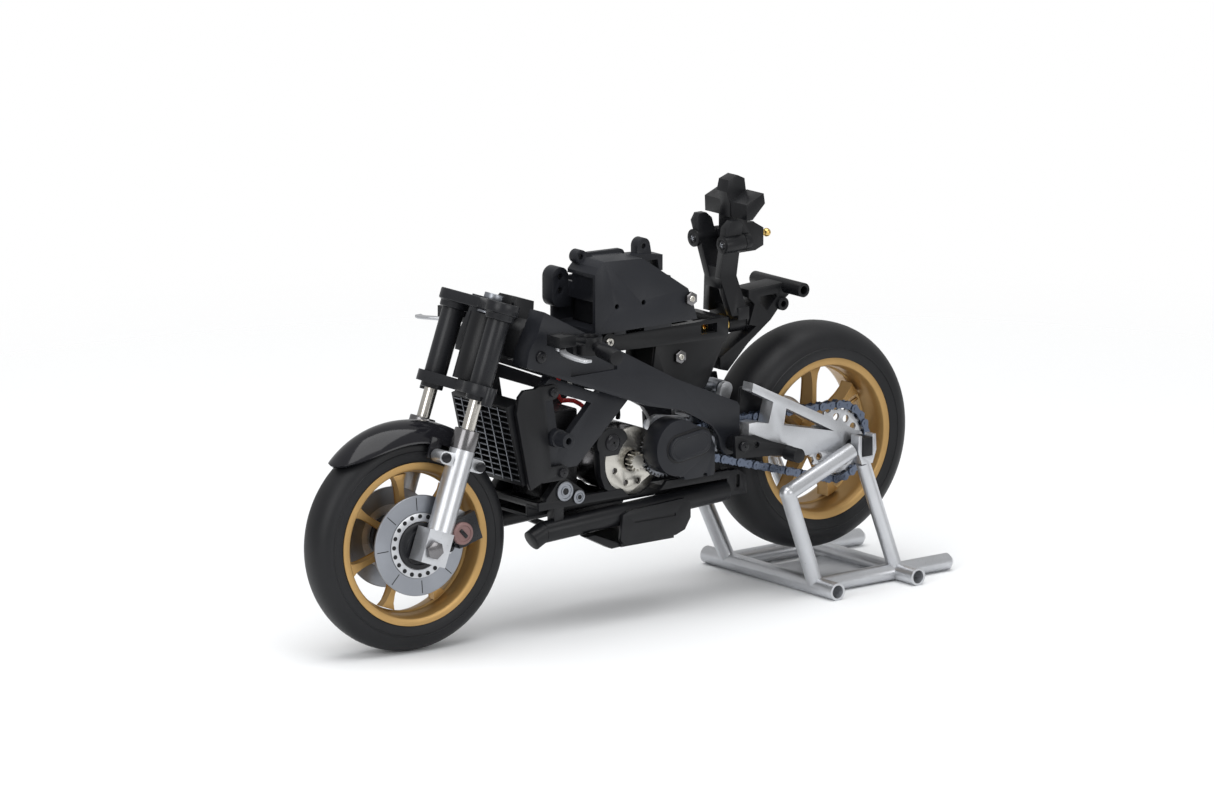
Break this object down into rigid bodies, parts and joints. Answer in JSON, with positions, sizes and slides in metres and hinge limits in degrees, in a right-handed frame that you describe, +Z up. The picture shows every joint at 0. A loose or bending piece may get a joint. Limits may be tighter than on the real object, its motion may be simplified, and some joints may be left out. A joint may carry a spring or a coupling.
{
  "type": "rc motorcycle chassis",
  "caption": "Radio-controlled racing motorcycle without its fairing: twin-plate frame, sprung fork, gear and chain drive, rider mount, and a tubular paddock stand under the swingarm.",
  "frame": {"origin": "centre of the bounding box, on the ground", "axes": "+X towards the rear, +Y towards the bike's right side, +Z up; the front wheel is at -X"},
  "size_m": [0.2575, 0.0928, 0.147],
  "materials": {
    "frame_plastic": "satin moulded, grained",
    "dark_plastic": "satin",
    "fork_black": "satin black",
    "gloss_black": "gloss",
    "gold": "satin gold",
    "tyre": "matt rubber",
    "satin_silver": "satin",
    "chrome": "polished",
    "dark_chrome": "polished dark",
    "steel": "brushed",
    "chain_steel": "blued",
    "nickel": "bright",
    "brass": "bright",
    "white_plastic": "satin",
    "wire": "satin",
    "battery_wrap": "satin"
  },
  "bodies": {
    "steering": {"upper_clamp": "fork_black", "lower_clamp": "fork_black", "steering_stem": "steel", "fork_sleeves": "fork_black", "inner_tubes": "chrome"},
    "fork_lower": {"slider_left": "satin_silver", "slider_right": "satin_silver", "slider_collars": "dark_chrome", "front_fender": "gloss_black", "front_axle": "steel", "front_calipers": "fork_black", "fork_screws": "steel", "fork_springs": "steel"},
    "front_wheel": {"front_tyre": "tyre", "front_rim": "gold", "front_discs": "satin_silver"},
    "chassis": {"frame_left": "frame_plastic", "frame_right": "frame_plastic", "head_block": "dark_plastic", "side_braces": "frame_plastic", "radiator": "dark_plastic", "radiator_shrouds": "dark_plastic", "lower_case": "dark_plastic", "battery": "battery_wrap", "gear_cover": "frame_plastic", "motor": "nickel", "motor_plate": "nickel", "belly_pipes": "dark_plastic", "skid_bracket": "dark_plastic", "subframe": "dark_plastic", "servo_box": "frame_plastic", "controller": "dark_plastic", "tail_bar": "dark_plastic", "handlebar_left": "dark_plastic", "handlebar_right": "dark_plastic", "footpegs": "dark_plastic", "frame_fasteners": "steel", "motor_wires": "wire", "pivot_bush": "brass"},
    "clutch_lever": {"clutch_lever": "white_plastic"},
    "brake_lever": {"brake_lever": "white_plastic"},
    "rider": {"rider_arms": "dark_plastic", "rider_head": "dark_plastic", "ball_stud": "brass"},
    "output_shaft": {"output_shaft": "steel"},
    "counter_gear": {"counter_gear": "steel"},
    "pinion": {"pinion": "steel"},
    "shock_body": {"shock_body": "dark_plastic"},
    "shock_rod": {"shock_rod": "steel"},
    "swingarm": {"swingarm": "satin_silver", "splash_guard": "dark_plastic", "chain": "chain_steel", "rear_axle": "steel", "stand_spools": "dark_plastic", "rear_caliper": "white_plastic"},
    "rear_wheel": {"rear_tyre": "tyre", "rear_rim": "gold", "rear_sprocket": "satin_silver"},
    "stand": {"stand": "satin_silver"}
  },
  "joints": [
    {"name": "steering_turn", "type": "hinge", "parent": "chassis", "child": "steering", "pos_m": [-0.08385, 0, 0.03469], "axis": [0.342, 0, 0.9397], "range_deg": [-12.87, 27.13]},
    {"name": "fork_slide", "type": "slide", "parent": "steering", "child": "fork_lower", "axis": [0.342, 0, 0.9397], "range_m": [0, 0.006], "stiffness_N_per_m": 1500, "springref_m": -0.006, "deforming": ["fork_springs"]},
    {"name": "front_wheel_spin", "type": "hinge", "parent": "fork_lower", "child": "front_wheel", "pos_m": [-0.0915, 0.00102, 0.03748], "axis": [0.1166, 0.9923, -0.0425], "continuous": true},
    {"name": "swingarm_pivot", "type": "hinge", "parent": "chassis", "child": "swingarm", "pos_m": [0.0246, 0, 0.05963], "axis": [0, -1, 0], "range_deg": [0, 6], "stiffness_Nm_per_rad": 1.2, "springref_deg": -22.92},
    {"name": "rear_wheel_spin", "type": "hinge", "parent": "swingarm", "child": "rear_wheel", "pos_m": [0.08344, 0, 0.05075], "axis": [0, 1, 0], "continuous": true},
    {"name": "output_spin", "type": "hinge", "parent": "chassis", "child": "output_shaft", "pos_m": [0.0246, 0, 0.05963], "axis": [0, 1, 0], "continuous": true},
    {"name": "counter_spin", "type": "hinge", "parent": "chassis", "child": "counter_gear", "pos_m": [0.01064, 0, 0.05691], "axis": [0, 1, 0], "continuous": true},
    {"name": "pinion_spin", "type": "hinge", "parent": "chassis", "child": "pinion", "pos_m": [-0.00126, 0, 0.0546], "axis": [0, 1, 0], "continuous": true},
    {"name": "shock_tilt", "type": "hinge", "parent": "chassis", "child": "shock_body", "pos_m": [0.01194, 0, 0.081], "axis": [0, -1, 0], "range_deg": [0, 2.8]},
    {"name": "shock_stroke", "type": "slide", "parent": "shock_body", "child": "shock_rod", "axis": [-0.9683, 0, 0.2499], "range_m": [0, 0.002]},
    {"name": "rider_swing", "type": "hinge", "parent": "chassis", "child": "rider", "pos_m": [0.04594, 0, 0.095], "axis": [1, 0, 0], "range_deg": [-25, 25]},
    {"name": "clutch_pull", "type": "hinge", "parent": "chassis", "child": "clutch_lever", "pos_m": [-0.04856, -0.03, 0.103], "axis": [0, 0, 1], "range_deg": [0, 15], "stiffness_Nm_per_rad": 0.002, "springref_deg": -11.46},
    {"name": "brake_pull", "type": "hinge", "parent": "chassis", "child": "brake_lever", "pos_m": [-0.04856, 0.03, 0.103], "axis": [0, 0, -1], "range_deg": [0, 15], "stiffness_Nm_per_rad": 0.002, "springref_deg": -11.46},
    {"name": "stand_lift", "type": "slide", "parent": "swingarm", "child": "stand", "axis": [0, 0, -1], "range_m": [0, 0.04]}
  ],
  "couplings": [
    {"joint": "output_spin", "follows": "rear_wheel_spin", "ratio": 2.4444},
    {"joint": "counter_spin", "follows": "rear_wheel_spin", "ratio": -4.7361},
    {"joint": "pinion_spin", "follows": "rear_wheel_spin", "ratio": 14.208},
    {"joint": "shock_tilt", "follows": "swingarm_pivot", "ratio": 0.445},
    {"joint": "shock_stroke", "follows": "swingarm_pivot", "m_per_rad": 0.01795}
  ]
}
